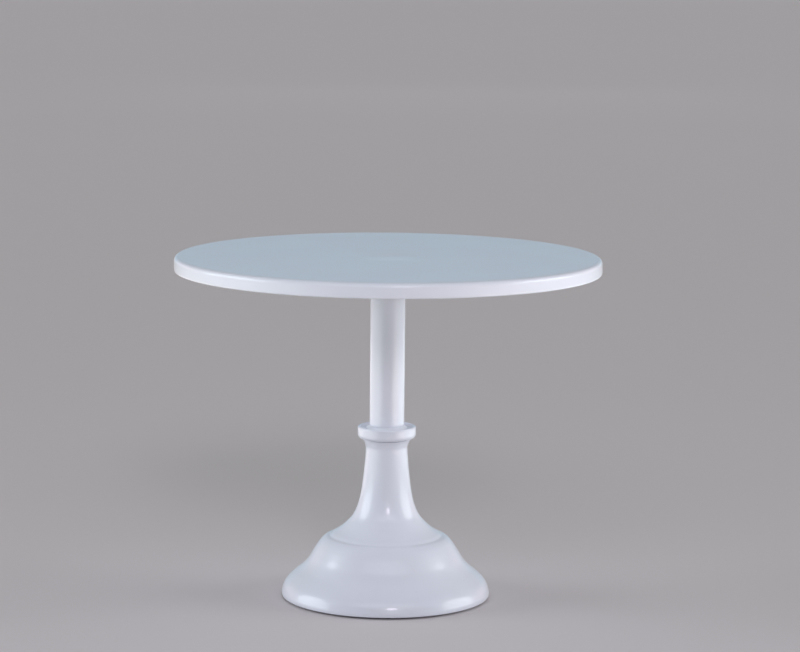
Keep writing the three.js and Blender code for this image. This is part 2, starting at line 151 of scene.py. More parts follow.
# Panels: name, middle, the way they face, width and height in metres, radiance and colour. The
# cards lie on the floor, and the horizon is far behind, low enough to show in the plate's dip.
PANELS = [
    ("card_left_front", (-0.78, -0.5, 0.002), (0, 0, 1), 0.66, 0.6, 2.76, (0.94, 1.0, 0.89)),
    ("card_left_middle", (-0.78, 0.1, 0.002), (0, 0, 1), 0.66, 0.6, 1.90, (1.0, 0.91, 0.79)),
    ("card_left_back", (-0.78, 0.7, 0.002), (0, 0, 1), 0.66, 0.6, 1.43, (1.0, 0.87, 0.88)),
    ("card_right_front", (0.78, -0.5, 0.002), (0, 0, 1), 0.66, 0.6, 3.69, (1.0, 0.90, 0.79)),
    ("card_right_middle", (0.78, 0.1, 0.002), (0, 0, 1), 0.66, 0.6, 2.57, (0.86, 0.95, 1.0)),
    ("card_right_back", (0.78, 0.7, 0.002), (0, 0, 1), 0.66, 0.6, 1.05, (0.86, 1.0, 0.93)),
    ("overhead", (0, -0.9, 0.9), (0, 0.9, -0.7), 1.4, 0.36, 1.58, (0.84, 0.90, 1.0)),
    ("horizon", (0.15, 6, 0.52), (0, -1, 0), 1.6, 0.42, 0.16, (0.9, 0.95, 1.0)),
]
# Soft lights far away: name, degrees round from the front (+ is to the right), degrees up,
# degrees across, strength and colour.
SUN_DISTANCE = 3.0  # where a sun stands makes no difference to its light
SUNS = [
    ("low_left", -90, 9, 46, 1.78, (0.86, 0.94, 1.0)),
    ("low_right", 90, 9, 46, 1.68, (0.91, 0.96, 1.0)),
    ("side_left", -92, 28, 18, 0.05, (0.9, 0.97, 0.9)),
    ("side_right", 82, 30, 18, 0.04, (1.0, 1.0, 0.8)),
    ("front", 8, 26, 12, 0.45, (0.95, 0.86, 1.0)),
]


def place_light(data, middle, away):
    """A light at a place, whose back is turned to `away`. The camera doesn't see the light itself."""
    light = bpy.data.objects.new(data.name, data)
    light.visible_camera = False
    light.location = middle
    light.rotation_euler = Vector(away).to_track_quat("Z", "Y").to_euler()
    bpy.context.scene.collection.objects.link(light)


def make_lights():
    for name, place, facing, width, height, radiance, colour in PANELS:
        data = bpy.data.lights.new(name, "AREA")
        data.shape = "RECTANGLE"
        data.size, data.size_y = width, height
        data.energy, data.color = radiance * math.pi * width * height, colour
        place_light(data, place, -Vector(facing))
    for name, around, up, across, strength, colour in SUNS:
        data = bpy.data.lights.new(name, "SUN")
        data.angle = math.radians(across)
        data.energy, data.color = strength, colour
        a, e = math.radians(around), math.radians(up)
        away = Vector((math.sin(a) * math.cos(e), -math.cos(a) * math.cos(e), math.sin(e)))
        place_light(data, away * SUN_DISTANCE, away)


# The room's light near the horizon, from the sides and from behind, and from above. The front
# is dark. What the camera itself sees past the floor is a plain backdrop.
ROOM_SIDES = (1.44, 1.06, 1.11)
ROOM_BACK = (0.37, 0.57, 0.71)
ROOM_ABOVE = (0.25, 0.25, 0.25)
ROOM_STOPS = (0.6, 0.85, 0.97)  # dark, sides and back, where 0 is in front and 1 is behind
ROOM_EDGE = 0.4  # sine of the height at which the light from the sides has faded
BACKDROP = (0.36, 0.35, 0.36)


def make_world():
    world = bpy.data.worlds.new("studio")
    bpy.context.scene.world = world
    world.use_nodes = True
    nodes, links = world.node_tree.nodes, world.node_tree.links
    place = nodes.new("ShaderNodeTexCoord")
    split = nodes.new("ShaderNodeSeparateXYZ")
    round_about = nodes.new("ShaderNodeMapRange")
    round_about.inputs["From Min"].default_value = -1
    walls = nodes.new("ShaderNodeValToRGB")
    stops = walls.color_ramp.elements
    dark, sides, back = ROOM_STOPS
    stops[0].position, stops[0].color = dark, (0, 0, 0, 1)
    stops[1].position, stops[1].color = back, (*ROOM_BACK, 1)
    stops.new(sides).color = (*ROOM_SIDES, 1)
    height = nodes.new("ShaderNodeMapRange")
    height.inputs["From Max"].default_value = ROOM_EDGE
    blend = nodes.new("ShaderNodeMix")
    blend.data_type = "RGBA"
    blend.inputs["B"].default_value = (*ROOM_ABOVE, 1)
    seen = nodes.new("ShaderNodeMix")
    seen.data_type = "RGBA"
    seen.inputs["B"].default_value = (*BACKDROP, 1)
    ray = nodes.new("ShaderNodeLightPath")
    links.new(place.outputs["Generated"], split.inputs["Vector"])
    links.new(split.outputs["Y"], round_about.inputs["Value"])
    links.new(round_about.outputs["Result"], walls.inputs["Fac"])
    links.new(split.outputs["Z"], height.inputs["Value"])
    links.new(height.outputs["Result"], blend.inputs["Factor"])
    links.new(walls.outputs["Color"], blend.inputs["A"])
    links.new(ray.outputs["Is Camera Ray"], seen.inputs["Factor"])
    links.new(blend.outputs["Result"], seen.inputs["A"])
    links.new(seen.outputs["Result"], nodes["Background"].inputs["Color"])


FLOOR_SIDE = 60.0
FLOOR_COLOUR = (0.675, 0.635, 0.635)


def make_floor():
    bm = bmesh.new()
    bmesh.ops.create_grid(bm, x_segments=1, y_segments=1, size=FLOOR_SIDE / 2)
    mesh = bpy.data.meshes.new("floor")
    bm.to_mesh(mesh)
    bm.free()
    floor = bpy.data.objects.new("floor", mesh)
    bpy.context.scene.collection.objects.link(floor)
    mesh.materials.append(plain("floor_paper", FLOOR_COLOUR, roughness=0.9))


# ---------------------------------------------------------------- materials


def plain(name, colour, roughness, metallic=0.0, **sockets):
    """A new material with one Principled shader."""
    material = bpy.data.materials.new(name)
    material.use_nodes = True
    shader = material.node_tree.nodes["Principled BSDF"]
    shader.inputs["Base Color"].default_value = (*colour, 1)
    shader.inputs["Roughness"].default_value = roughness
    shader.inputs["Metallic"].default_value = metallic
    for socket, value in sockets.items():
        shader.inputs[socket.replace("_", " ")].default_value = value
    return material


def row_coordinates(material):
    """Positions in the row frame, in metres: every piece's object sits at the origin."""
    return material.node_tree.nodes.new("ShaderNodeTexCoord").outputs["Object"]


def ring_coordinates(material):
    """(distance from the turning axis, height, 0), which draws lathe marks."""
    nodes, links = material.node_tree.nodes, material.node_tree.links
    split = nodes.new("ShaderNodeSeparateXYZ")
    flat = nodes.new("ShaderNodeCombineXYZ")
    length = nodes.new("ShaderNodeVectorMath")
    length.operation = "LENGTH"
    rings = nodes.new("ShaderNodeCombineXYZ")
    links.new(row_coordinates(material), split.inputs["Vector"])
    links.new(split.outputs["X"], flat.inputs["X"])
    links.new(split.outputs["Y"], flat.inputs["Y"])
    links.new(flat.outputs["Vector"], length.inputs[0])
    links.new(length.outputs["Value"], rings.inputs["X"])
    links.new(split.outputs["Z"], rings.inputs["Y"])
    return rings.outputs["Vector"]


def clouds(material, coordinates, size, detail=3.0, stretch=(1, 1, 1)):
    """Noise whose features are about `size` millimetres across."""
    nodes, links = material.node_tree.nodes, material.node_tree.links
    scale = nodes.new("ShaderNodeMapping")
    scale.inputs["Scale"].default_value = stretch
    texture = nodes.new("ShaderNodeTexNoise")
    texture.inputs["Scale"].default_value = 1 / (size * MM)
    texture.inputs["Detail"].default_value = detail
    links.new(coordinates, scale.inputs["Vector"])
    links.new(scale.outputs["Vector"], texture.inputs["Vector"])
    return texture.outputs["Fac"]


def vary_colour(material, factor, low, high, ends=(0.35, 0.65)):
    """The base colour runs from low to high with the factor."""
    nodes, links = material.node_tree.nodes, material.node_tree.links
    ramp = nodes.new("ShaderNodeValToRGB")
    ramp.color_ramp.elements[0].position, ramp.color_ramp.elements[1].position = ends
    ramp.color_ramp.elements[0].color = (*low, 1)
    ramp.color_ramp.elements[1].color = (*high, 1)
    links.new(factor, ramp.inputs["Fac"])
    links.new(ramp.outputs["Color"], nodes["Principled BSDF"].inputs["Base Color"])
    return ramp.outputs["Color"]


def vary_roughness(material, factor, low, high):
    nodes, links = material.node_tree.nodes, material.node_tree.links
    span = nodes.new("ShaderNodeMapRange")
    span.inputs["From Min"].default_value, span.inputs["From Max"].default_value = 0.3, 0.7
    span.inputs["To Min"].default_value, span.inputs["To Max"].default_value = low, high
    links.new(factor, span.inputs["Value"])
    links.new(span.outputs["Result"], nodes["Principled BSDF"].inputs["Roughness"])


def bump(material, *layers):
    """Bump from (noise, height in millimetres) layers, one on top of the other."""
    nodes, links = material.node_tree.nodes, material.node_tree.links
    shader = nodes["Principled BSDF"]
    below = None
    for height, depth in layers:
        node = nodes.new("ShaderNodeBump")
        node.inputs["Distance"].default_value = depth * MM
        links.new(height, node.inputs["Height"])
        if below:
            links.new(below, node.inputs["Normal"])
        below = node.outputs["Normal"]
    links.new(below, shader.inputs["Normal"])
    if shader.inputs["Coat Weight"].default_value > 0:
        links.new(below, shader.inputs["Coat Normal"])


ENAMEL_LIGHT = (0.785, 0.808, 0.880)
ENAMEL_DARK = (0.765, 0.790, 0.868)


def white_enamel(name, ripple_size, ripple_depth, peel_depth):
    """Glossy baked enamel: faint clouds of colour, orange peel, and ripples from what is below."""
    gloss = {"Specular_IOR_Level": 0.4, "Coat_Weight": 0.5, "Coat_Roughness": 0.1}
    material = plain(name, ENAMEL_LIGHT, 0.3, **gloss)
    place = row_coordinates(material)
    vary_colour(material, clouds(material, place, 45, detail=0), ENAMEL_DARK, ENAMEL_LIGHT, (0.1, 0.9))
    vary_roughness(material, clouds(material, place, 30, detail=0), 0.285, 0.33)
    ripples = clouds(material, place, ripple_size, detail=0)
    peel = clouds(material, place, 2.0, detail=0)
    bump(material, (ripples, ripple_depth), (peel, peel_depth))
    return material


def powder_coat():
    """Satin powder coat: a fine even texture."""
    material = plain("powder_coat", (0.66, 0.69, 0.74), 0.5)
    place = row_coordinates(material)
    vary_colour(material, clouds(material, place, 20), (0.62, 0.65, 0.70), (0.68, 0.71, 0.76))
    vary_roughness(material, clouds(material, place, 3), 0.42, 0.58)
    bump(material, (clouds(material, place, 0.7, detail=2), 0.03))
    return material


def cast_aluminium():
    """Blasted die casting: a fine even grain, with faint clouds."""
    material = plain("cast_aluminium", (0.55, 0.56, 0.58), 0.5, 1.0)
    place = row_coordinates(material)
    vary_colour(material, clouds(material, place, 5), (0.53, 0.54, 0.56), (0.60, 0.61, 0.63))
    vary_roughness(material, clouds(material, place, 2), 0.46, 0.54)
    bump(material, (clouds(material, place, 0.5, detail=2), 0.04))
    return material


def turned_steel(name, low, high, roughest, smoothest):
    """Ground or turned steel: rings round the turning axis."""
    material = plain(name, high, smoothest, 1.0)
    rings = ring_coordinates(material)
    vary_colour(material, clouds(material, row_coordinates(material), 8), low, high)
    vary_roughness(material, clouds(material, rings, 0.5), smoothest, roughest)
    bump(material, (clouds(material, rings, 0.25, detail=2), 0.004))
    return material


def zinc_steel():
    """Bright zinc plate with a faint blue and yellow bloom."""
    material = plain("zinc_steel", (0.6, 0.61, 0.62), 0.3, 1.0)
    place = row_coordinates(material)
    vary_colour(material, clouds(material, place, 5), (0.58, 0.60, 0.66), (0.68, 0.66, 0.60))
    vary_roughness(material, clouds(material, place, 1.5), 0.29, 0.42)
    bump(material, (clouds(material, place, 0.4), 0.01))
    return material


def bronze():
    """Oiled sintered bronze: fine pores."""
    material = plain("bronze", (0.52, 0.33, 0.14), 0.4, 1.0)
    place = row_coordinates(material)
    vary_colour(material, clouds(material, place, 2, 5), (0.40, 0.24, 0.10), (0.56, 0.37, 0.17))
    vary_roughness(material, clouds(material, place, 0.8), 0.32, 0.52)
    bump(material, (clouds(material, place, 0.3, detail=4), 0.02))
    return material


def cage_brass():
    """Stamped brass strip."""
    material = plain("cage_brass", (0.68, 0.50, 0.20), 0.35, 1.0)
    place = row_coordinates(material)
    vary_colour(material, clouds(material, place, 3), (0.58, 0.41, 0.16), (0.72, 0.55, 0.24))
    vary_roughness(material, clouds(material, ring_coordinates(material), 0.4), 0.29, 0.42)
    bump(material, (clouds(material, place, 0.5), 0.006))
    return material


def black_rubber():
    """Matt moulded rubber with a little dust."""
    material = plain("black_rubber", (0.016, 0.016, 0.017), 0.8)
    place = row_coordinates(material)
    dust = clouds(material, place, 4, detail=6)
    vary_colour(material, dust, (0.013, 0.013, 0.014), (0.045, 0.044, 0.042), (0.45, 0.8))
    vary_roughness(material, dust, 0.7, 0.95)
    bump(material, (clouds(material, place, 0.4), 0.03))
    return material


def white_silicone():
    """A soft bead, slightly milky."""
    material = plain("white_silicone", (0.79, 0.82, 0.87), 0.35, Subsurface_Weight=0.15)
    shader = material.node_tree.nodes["Principled BSDF"]
    shader.inputs["Subsurface Radius"].default_value = (1.0, 0.9, 0.8)
    shader.inputs["Subsurface Scale"].default_value = 0.8 * MM
    place = row_coordinates(material)
    vary_colour(material, clouds(material, place, 6), (0.77, 0.80, 0.85), (0.81, 0.84, 0.89))
    vary_roughness(material, clouds(material, place, 2), 0.3, 0.45)
    bump(material, (clouds(material, place, 2.5), 0.05))
    return material


def grey_felt():
    """Pressed wool: matted fibres."""
    material = plain("grey_felt", (0.16, 0.155, 0.15), 0.95, Sheen_Weight=0.4)
    place = row_coordinates(material)
    fibres = clouds(material, place, 0.35, detail=8, stretch=(1, 1, 3))
    vary_colour(material, fibres, (0.10, 0.098, 0.095), (0.24, 0.235, 0.225))
    vary_roughness(material, fibres, 0.88, 1.0)
    bump(material, (fibres, 0.25), (clouds(material, place, 1.6), 0.2))
    return material


FINISHES = {
    "powder_coat": powder_coat(),
    "cast_aluminium": cast_aluminium(),
    "bearing_steel": turned_steel("bearing_steel", (0.60, 0.61, 0.63), (0.70, 0.71, 0.73), 0.24, 0.1),
    "zinc_steel": zinc_steel(),
    "bronze": bronze(),
    "cage_brass": cage_brass(),
    "black_rubber": black_rubber(),
    "white_silicone": white_silicone(),
    "grey_felt": grey_felt(),
}
ENAMELS = {
    "plate": white_enamel("plate_enamel", 40, 0.012, 0.0003),
    "stem_tube": white_enamel("stem_enamel", 16, 0.004, 0.0006),
    "collar": white_enamel("collar_enamel", 9, 0.004, 0.0008),
    "base_casting": white_enamel("base_enamel", 22, 0.020, 0.0010),
}


# ---------------------------------------------------------------- outlines


def span(node):
    """A CAD node's radius about its own middle, its bottom and its top, in millimetres."""
    low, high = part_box(node)
    return (high.x - low.x) / 2 / MM, low.z / MM, high.z / MM


def middle(node):
    """The middle of a CAD node's box, in millimetres."""
    low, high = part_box(node)
    return (low + high) / 2 / MM


def arc(centre_radius, centre_z, radius, start, end, steps=FILLET_STEPS):
    """An arc in degrees from straight outwards, anticlockwise."""
    angles = [math.radians(start + (end - start) * i / steps) for i in range(steps + 1)]
    return [(centre_radius + radius * math.cos(a), centre_z + radius * math.sin(a)) for a in angles]


def smooth(points, steps):
    """A Catmull-Rom curve through the points, as three.js draws a SplineCurve."""
    last = len(points) - 1
    curve = []
    for i in range(last):
        a, b, c, d = (Vector(points[min(max(i + k, 0), last)]) for k in (-1, 0, 1, 2))
        for k in range(steps):
            t = k / steps
            slope_b, slope_c = (c - a) / 2, (d - b) / 2
            square, cube = t * t, t * t * t
            point = (2 * b - 2 * c + slope_b + slope_c) * cube
            point += (3 * c - 3 * b - 2 * slope_b - slope_c) * square + slope_b * t + b
            curve.append((point.x, point.y))
    return curve + [tuple(points[last])]


def offset(points, distance):
    """The curve moved sideways, to its left as it climbs."""
    moved = []
    for i, (r, z) in enumerate(points):
        before, after = points[max(0, i - 1)], points[min(len(points) - 1, i + 1)]
        along = (Vector(after) - Vector(before)).normalized()
        moved.append((r - distance * along.y, z + distance * along.x))
    return moved


def rounded(corners):
    """An outline from (radius, height) points and (radius, height, fillet) corners."""
    outline = []
    for i, corner in enumerate(corners):
        if len(corner) == 2:
            outline.append(tuple(corner))
            continue
        here = Vector(corner[:2])
        back = (Vector(corners[i - 1][:2]) - here).normalized()
        on = (Vector(corners[(i + 1) % len(corners)][:2]) - here).normalized()
        half = back.angle(on) / 2
        reach = corner[2] / math.tan(half)
        centre = here + (back + on).normalized() * corner[2] / math.sin(half)
        first = here + back * reach - centre
        turn = (here + on * reach - centre).angle_signed(first)
        start = math.atan2(first.y, first.x)
        outline.append(tuple(here + back * (reach + HOLD)))
        for k in range(FILLET_STEPS + 1):
            angle = start + turn * k / FILLET_STEPS
            outline.append(tuple(centre + corner[2] * Vector((math.cos(angle), math.sin(angle)))))
        outline.append(tuple(here + on * (reach + HOLD)))
    return outline


# ---------------------------------------------------------------- pieces


def loft(rings, segments, centre=(0.0, 0.0), closed=True):
    """A surface through rings about an upright axis. A ring is (radius, height), or a function
    from the angle to them, and one of no radius is a point."""
    bm = bmesh.new()
    rows = []
    for ring in rings:
        at = ring if callable(ring) else (lambda angle, ring=ring: ring)
        count = 1 if at(0.0)[0] == 0 else segments
        row = []
        for k in range(count):
            angle = 2 * math.pi * k / segments
            radius, z = at(angle)
            x, y = centre[0] + radius * math.cos(angle), centre[1] + radius * math.sin(angle)
            row.append(bm.verts.new(Vector((x, y, z)) * MM))
        rows.append(row)
    pairs = list(zip(rows, rows[1:]))
    if closed and len(rows[0]) > 1:
        pairs.append((rows[-1], rows[0]))
    for low, high in pairs:
        for k in range(segments):
            a, b = low[k % len(low)], low[(k + 1) % len(low)]
            c, d = high[(k + 1) % len(high)], high[k % len(high)]
            corners = list(dict.fromkeys((a, b, c, d)))
            if len(corners) > 2:
                bm.faces.new(corners)
    return bm


def turned(node, outline, segments=SMALL_ROUND):
    """An outline turned about the middle of a CAD node."""
    place = middle(node)
    return loft(outline, segments, (place.x, place.y))


def clean(bm, mesh):
    """Writes a closed mesh with outward faces, smooth but for its sharp edges."""
    bmesh.ops.remove_doubles(bm, verts=bm.verts, dist=WELD * MM)
    bmesh.ops.recalc_face_normals(bm, faces=bm.faces)
    if bm.calc_volume(signed=True) < 0:
        bmesh.ops.reverse_faces(bm, faces=bm.faces)
    for face in bm.faces:
        face.smooth = True
    for edge in bm.edges:
        edge.smooth = edge.calc_face_angle(0.0) < SHARP
    bm.to_mesh(mesh)
    bm.free()


def object_of(name, bm):
    mesh = bpy.data.meshes.new(name)
    clean(bm, mesh)
    piece = bpy.data.objects.new(name, mesh)
    bpy.context.scene.collection.objects.link(piece)
    return piece


def cut(piece, cutters):
    """Cuts the cutters' shapes out of a piece and removes them."""
    for cutter in cutters:
        modifier = piece.modifiers.new("cut", "BOOLEAN")
        modifier.operation = "DIFFERENCE"
        modifier.solver = "EXACT"
        modifier.object = cutter
    graph = bpy.context.evaluated_depsgraph_get()
    done = bpy.data.meshes.new_from_object(piece.evaluated_get(graph))
    piece.modifiers.clear()
    piece.data = done
    bm = bmesh.new()
    bm.from_mesh(done)
    clean(bm, done)
    for cutter in cutters:
        bpy.data.objects.remove(cutter)


def drill(place, radius, bottom, top):
    """A cutter for a round hole, turned a little to keep its corners off the piece's edges."""
    rings = [(0, bottom), (radius, bottom), (radius, top), (0, top)]
    bm = loft(rings, DRILL_ROUND, (place.x, place.y), closed=False)
    axis = Vector((place.x, place.y, 0)) * MM
    turn = Matrix.Rotation(DRILL_TURN, 3, "Z")
    bmesh.ops.rotate(bm, cent=axis, matrix=turn, verts=bm.verts)
    return object_of("cutter", bm)


def finish(node, piece):
    """The piece stands for its CAD node, in that node's finish and on its body."""
    slot = NODE_SLOT[node]
    piece.name = node + "_shape"
    piece.data.name = piece.name
    piece.data.materials.clear()
    piece.data.materials.append(ENAMELS.get(node) or FINISHES[slot])
    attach(piece, NODE_BODY[node])
    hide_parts(node)


def add(node, bm):
    finish(node, object_of(node + "_shape", bm))


def numbered(start):
    """The CAD nodes whose names start so and end in a number, in order."""
    found = [n for n in frame["nodes"] if n.startswith(start) and n[len(start):].isdigit()]
    return sorted(found, key=lambda n: int(n[len(start):]))


def flat_ring(hole, radius, bottom, top, edge):
    """The outline of a washer or tube with its edges broken."""
    corners = [(hole, bottom), (radius, bottom), (radius, top), (hole, top)]
    return rounded([(r, z, edge) for r, z in corners])


def nut(node, hole):
    """A hexagon nut with chamfered corners, turned as the CAD nut is."""
    place = middle(node)
    _, bottom, top = span(node)
    corners = [v.co for v in frame["nodes"][node].data.vertices]
    far = max(corners, key=lambda v: (v.x / MM - place.x) ** 2 + (v.y / MM - place.y) ** 2)
    corner = Vector((far.x / MM - place.x, far.y / MM - place.y))
    turn = math.atan2(corner.y, corner.x)
    flat = corner.length * math.cos(math.pi / 6)
    face = flat * 0.95
    slope = math.tan(math.radians(30))
    lead, lead_depth = 0.45, 0.5

    def side(angle):
        across = (angle - turn) % (math.pi / 3) - math.pi / 6
        return flat / math.cos(across)

    def wall(end, sign):
        return lambda angle: (side(angle), end - sign * (side(angle) - face) * slope)

    rings = [
        (hole, bottom + lead_depth),
        (hole + lead, bottom),
        (face, bottom),
        wall(bottom, -1),
        wall(top, 1),
        (face, top),
        (hole + lead, top),
        (hole, top - lead_depth),
    ]
    return loft(rings, SMALL_ROUND, (place.x, place.y))


def thread(radius, pitch, bottom, top):
    """The rings of a thread from bottom to top, which runs out at both ends."""
    depth = THREAD_DEPTH * pitch
    count = round((top - bottom) / pitch * ROWS_PER_PITCH)

    def ring(z):
        fade = min(1.0, (z - bottom) / pitch, (top - z) / pitch)

        def at(angle):
            phase = ((z - bottom) / pitch - angle / (2 * math.pi)) % 1.0
            return radius - depth * fade * abs(2 * phase - 1), z

        return at

    return [ring(bottom + (top - bottom) * i / count) for i in range(count + 1)]


# ---------------------------------------------------------------- the stand


def crease(points):
    """The outline with the cast line pressed into it."""
    pressed = []
    for (r, z), (inner_r, inner_z) in zip(points, offset(points, CREASE_DEPTH)):
        share = math.exp(-(((r - CREASE_RADIUS) / CREASE_WIDTH) ** 2))
        pressed.append((r + (inner_r - r) * share, z + (inner_z - z) * share))
    return pressed


def build_base_casting():
    radius, bottom, top = span("base_casting")
    fit = 0.3
    ledge = span("base_cover")[0] + fit
    seat = span("base_cover")[1] + COVER_SHEET
    neck_bore = 11.2
    bell = crease(smooth(BELL_OUTLINE, BELL_STEPS))
    slimmest = min(BELL_OUTLINE)[1]
    inside = offset(smooth(BELL_OUTLINE, 2), BASE_WALL)
    lowest = seat + COVER_SHEET
    inside = [(r, z) for r, z in reversed(inside) if r > neck_bore + fit and lowest < z < slimmest]
    outline = rounded(
        [
            (ledge, bottom, 0.3),
            (radius - 0.1, bottom, 1.0),
            *bell,
            (17.1, top, 0.2),
            (neck_bore, top, 0.3),
            (neck_bore, inside[0][1]),
            *inside,
            (ledge - BASE_WALL - fit, seat),
            (ledge, seat, 0.2),
        ]
    )
    add("base_casting", turned("base_casting", outline, BELL_ROUND))


def build_base_cover():
    """The pressed cover, with a stiffening bead round its dish."""
    radius, bottom, top = span("base_cover")
    sheet_top = bottom + COVER_SHEET
    dish, foot_hole, past = 13.4, 3.1, 1.0
    wall = dish + COVER_SHEET
    bead, half, crown = COVER_BEAD_RADIUS, 3.0, 1.0
    outline = rounded(
        [
            (M8_HOLE, top - COVER_SHEET, 0.2),
            (dish, top - COVER_SHEET, 1.6),
            (dish, bottom, 1.6),
            (bead - half, bottom, 1.0),
            (bead - crown, bottom + COVER_BEAD, 0.8),
            (bead + crown, bottom + COVER_BEAD, 0.8),
            (bead + half, bottom, 1.0),
            (radius, bottom, 0.5),
            (radius, sheet_top, 0.5),
            (bead + half, sheet_top, 1.0),
            (bead + crown, sheet_top + COVER_BEAD, 0.8),
            (bead - crown, sheet_top + COVER_BEAD, 0.8),
            (bead - half, sheet_top, 1.0),
            (wall, sheet_top, 1.6),
            (wall, top, 1.6),
            (M8_HOLE, top, 0.2),
        ]
    )
    cover = object_of("base_cover_shape", turned("base_cover", outline, STEM_ROUND))
    feet = numbered("rubber_foot_")
    cut(cover, [drill(middle(foot), foot_hole, bottom - past, sheet_top + past) for foot in feet])
    finish("base_cover", cover)


def build_rubber_feet():
    """Push-in bumpers, with a moulded ring in the face that stands on the table."""
    under_cover = span("base_cover")[1]
    over_cover = under_cover + COVER_SHEET
    groove, slant, depth = (0.55, 0.71), 0.03, 0.3
    shank, barb, tip = 2.8, 3.9, 2.3
    for foot in numbered("rubber_foot_"):
        radius, bottom, top = span(foot)
        outline = rounded(
            [
                (0, bottom),
                (radius * groove[0], bottom, 0.1),
                (radius * (groove[0] + slant), bottom + depth, 0.1),
                (radius * (groove[1] - slant), bottom + depth, 0.1),
                (radius * groove[1], bottom, 0.1),
                (radius, bottom, 0.5),
                (radius, under_cover, 0.5),
                (shank, under_cover),
                (shank, over_cover + 0.1),
                (barb, over_cover + 0.3, 0.2),
                (tip, top, 0.4),
                (0, top),
            ]
        )
        add(foot, turned(foot, outline))


def build_collar():
    radius, bottom, top = span("collar")
    neck_top = span("base_casting")[2]
    floor = span("stem_tube")[1]
    spigot, socket, hole = 10.9, 12.8, 4.6
    crease_radius, crease_height = 16.2, 0.7
    belly, lip, inner_lip = 3.0, 1.2, 0.5
    dish_radius, dish = 17.7, top - 1.3
    outline = rounded(
        [
            (hole, bottom, 0.3),
            (spigot, bottom, 0.5),
            (spigot, neck_top),
            (crease_radius, neck_top),
            (crease_radius, neck_top + crease_height),
            *arc(radius - belly, neck_top + belly + 0.3, belly, -60, 0, 10),
            *arc(radius - lip, top - lip, lip, 0, 90),
            *arc(radius - 1.9, top - inner_lip, inner_lip, 90, 140),
            (dish_radius, dish, 0.4),
            (socket, dish, 0.2),
            (socket, floor),
            (hole, floor, 0.2),
        ]
    )
    add("collar", turned("collar", outline, STEM_ROUND))


def build_stem_seal_ring():
    """A bead of sealant, smoothed by hand, so its edge wanders a little."""
    radius, bottom, top = span("stem_seal_ring")
    inner = span("stem_tube")[0] + 0.05
    wander = 0.12

    def bead(share, height):
        def at(angle):
            place = Vector((math.cos(angle), math.sin(angle), height)) * 1.6
            push = wander * noise.noise(place) * min(1.0, 4 * share * (1 - share) + share)
            return inner + (radius - inner - wander) * share + push, bottom + (top - bottom) * height

        return at

    profile = [(0, 0), (1, 0), (0.98, 0.1), (0.82, 0.26), (0.58, 0.42), (0.32, 0.62), (0.12, 0.86), (0, 1)]
    add("stem_seal_ring", loft([bead(share, height) for share, height in profile], STEM_ROUND))


def build_stem_tube():
    radius, bottom, top = span("stem_tube")
    outline = flat_ring(radius - STEM_WALL, radius, bottom, top, 0.25)
    add("stem_tube", turned("stem_tube", outline, STEM_ROUND))


def build_tie_rod():
    """A rod threaded at both ends."""
    node = "tie_rod"
    radius, bottom, top = span(node)
    chamfer = 0.7
    rings = [
        (0, bottom),
        (radius - chamfer, bottom),
        *thread(radius, M8_PITCH, bottom + chamfer, bottom + THREADED_END),
        *thread(radius, M8_PITCH, top - THREADED_END, top - chamfer),
        (radius - chamfer, top),
        (0, top),
    ]
    add(node, turned(node, rings, THREAD_ROUND))


def build_tie_rod_fasteners():
    """A washer, a spring washer with its slanted gap, and a nut."""
    radius, bottom, top = span("tie_rod_washer")
    add("tie_rod_washer", turned("tie_rod_washer", flat_ring(M8_HOLE, radius, bottom, top, 0.25)))
    radius, bottom, top = span("tie_rod_spring_washer")
    ring = turned("tie_rod", flat_ring(M8_HOLE, radius, bottom, top, 0.2))
    spring = object_of("tie_rod_spring_washer_shape", ring)
    gap = bmesh.new()
    size = Vector((radius, SPRING_WASHER_GAP, 3 * (top - bottom)))
    place = Vector((M8_HOLE + radius / 2 - 1, 0, (bottom + top) / 2)) * MM
    slant = Matrix.Rotation(SPRING_WASHER_SLANT, 3, "X")
    bmesh.ops.create_cube(gap, size=MM)
    bmesh.ops.scale(gap, vec=size, verts=gap.verts)
    bmesh.ops.rotate(gap, matrix=slant, verts=gap.verts)
    bmesh.ops.translate(gap, vec=place, verts=gap.verts)
    cut(spring, [object_of("cutter", gap)])
    finish("tie_rod_spring_washer", spring)
    add("tie_rod_nut", nut("tie_rod_nut", M8_BORE))


def build_spindle():
    """Turned from bar: plug, flange, ground shaft, undercut and thread."""
    node = "spindle"
    radius, bottom, top = span(node)
    shoulder = span("spindle_washer")[1]
    seat = span("bearing_lower_race")[1]
    stem_top = span("stem_tube")[2]
    plug, shaft, crest, chamfer, tapped = 10.8, 5.0, 3.9, 0.7, 4.2
    blind_end = span("tie_rod")[2] + 1
    below = rounded(
        [
            (0, blind_end),
            (tapped, blind_end),
            (tapped, bottom, 0.4),
            (plug, bottom, 0.6),
            (plug, stem_top),
            (radius, stem_top, 0.2),
            (radius, seat, 0.3),
            (shaft, seat, 0.2),
            (shaft, shoulder, 0.3),
            (crest - chamfer, shoulder),
        ]
    )
    rings = thread(crest, M8_PITCH, shoulder + 0.6, top - 0.5)
    add(node, turned(node, [*below, *rings, (crest - chamfer, top), (0, top)], THREAD_ROUND))


def build_spindle_fasteners():
    radius, bottom, top = span("spindle_washer")
    add("spindle_washer", turned("spindle_washer", flat_ring(M8_HOLE, radius, bottom, top, 0.25)))
    add("spindle_lock_nut", nut("spindle_lock_nut", M8_BORE))


